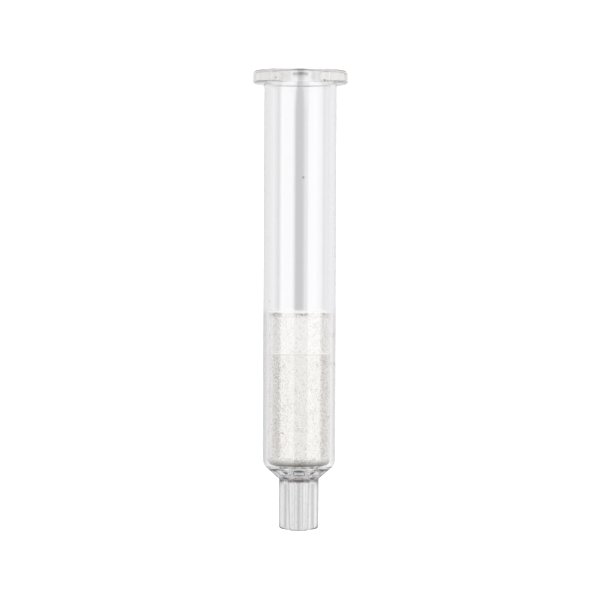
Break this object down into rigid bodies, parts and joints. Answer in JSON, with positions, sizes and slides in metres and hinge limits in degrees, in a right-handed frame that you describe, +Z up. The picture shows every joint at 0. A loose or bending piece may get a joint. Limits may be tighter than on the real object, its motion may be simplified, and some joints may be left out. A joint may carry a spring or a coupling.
{
  "type": "solid-phase extraction cartridge",
  "caption": "Clear plastic tube with a flatted finger flange, a hollow skirt round a tapered outlet nozzle, and porous frits that hold a two-layer granular bed.",
  "frame": {"origin": "on the surface that the cartridge lies on, under the middle of its length and width", "axes": "+Y along the barrel from the nozzle to the flange, apart from the third of a degree by which the flange lifts that end; +Z up, through the flange's two flats; +X across"},
  "size_m": [0.0196, 0.095, 0.0159],
  "materials": {
    "clear_polypropylene": "clear, polished by the mould",
    "porous_polyethylene": "sintered, matt and porous",
    "fine_sorbent": "packed fine powder, off-white",
    "coarse_sorbent": "packed coarse granules, white"
  },
  "bodies": {
    "root": {"barrel": "clear_polypropylene", "lower_frit": "porous_polyethylene", "lower_sorbent": "fine_sorbent", "upper_sorbent": "coarse_sorbent", "upper_frit": "porous_polyethylene"}
  },
  "joints": []
}
